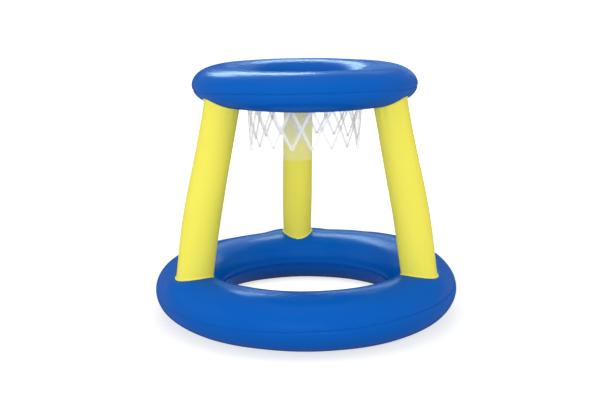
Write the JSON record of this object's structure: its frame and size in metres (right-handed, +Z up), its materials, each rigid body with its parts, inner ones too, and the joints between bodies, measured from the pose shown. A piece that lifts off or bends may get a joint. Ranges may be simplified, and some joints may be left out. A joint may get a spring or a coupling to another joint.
{
  "type": "floating basketball hoop",
  "caption": "Inflatable pool basketball goal: a large base ring, three leaning posts and a hoop ring with a clear film net.",
  "frame": {"origin": "on the floor, under the middle of the base ring", "axes": "+Z up through the hoop, -Y towards the viewer of the picture, +X to that viewer's right"},
  "size_m": [0.6126, 0.6126, 0.5008],
  "materials": {
    "blue_vinyl": "glossy, smooth air-filled sheet",
    "yellow_vinyl": "semi-gloss, smooth air-filled sheet",
    "clear_net_film": "clear to slightly milky film",
    "white_net_strand": "semi-gloss",
    "soft_valve_vinyl": "translucent, semi-gloss"
  },
  "bodies": {
    "inflated_frame": {"base_ring_upper_sheet": "blue_vinyl", "base_ring_lower_sheet": "blue_vinyl", "hoop_ring_upper_sheet": "blue_vinyl", "hoop_ring_lower_sheet": "blue_vinyl", "post_back": "yellow_vinyl", "post_left": "yellow_vinyl", "post_right": "yellow_vinyl", "net_film": "clear_net_film", "net_strands": "white_net_strand", "base_valve_flange": "soft_valve_vinyl", "hoop_valve_flange": "soft_valve_vinyl"},
    "base_valve_stem": {"base_valve_stem": "soft_valve_vinyl"},
    "base_valve_cap": {"base_valve_cap": "soft_valve_vinyl"},
    "base_valve_flap": {"base_valve_flap": "soft_valve_vinyl"},
    "hoop_valve_stem": {"hoop_valve_stem": "soft_valve_vinyl"},
    "hoop_valve_cap": {"hoop_valve_cap": "soft_valve_vinyl"},
    "hoop_valve_flap": {"hoop_valve_flap": "soft_valve_vinyl"}
  },
  "joints": [
    {"name": "base_valve_pull_out", "type": "slide", "parent": "inflated_frame", "child": "base_valve_stem", "axis": [0.3468, 0.6007, 0.7204], "range_m": [0, 0.01]},
    {"name": "base_valve_cap_hinge", "type": "hinge", "parent": "base_valve_stem", "child": "base_valve_cap", "pos_m": [0.13855, 0.25897, 0.08955], "axis": [-0.3602, -0.6239, 0.6936], "range_deg": [0, 150]},
    {"name": "base_valve_flap_hinge", "type": "hinge", "parent": "base_valve_stem", "child": "base_valve_flap", "pos_m": [0.14387, 0.24119, 0.07633], "axis": [-0.3602, -0.6239, 0.6936], "range_deg": [0, 60]},
    {"name": "hoop_valve_pull_out", "type": "slide", "parent": "inflated_frame", "child": "hoop_valve_stem", "axis": [0.3208, 0.5557, 0.767], "range_m": [0, 0.01]},
    {"name": "hoop_valve_cap_hinge", "type": "hinge", "parent": "hoop_valve_stem", "child": "hoop_valve_cap", "pos_m": [0.09819, 0.18908, 0.48938], "axis": [-0.3835, -0.6643, 0.6416], "range_deg": [0, 150]},
    {"name": "hoop_valve_flap_hinge", "type": "hinge", "parent": "hoop_valve_stem", "child": "hoop_valve_flap", "pos_m": [0.104, 0.17213, 0.4753], "axis": [-0.3835, -0.6643, 0.6416], "range_deg": [0, 60]}
  ]
}
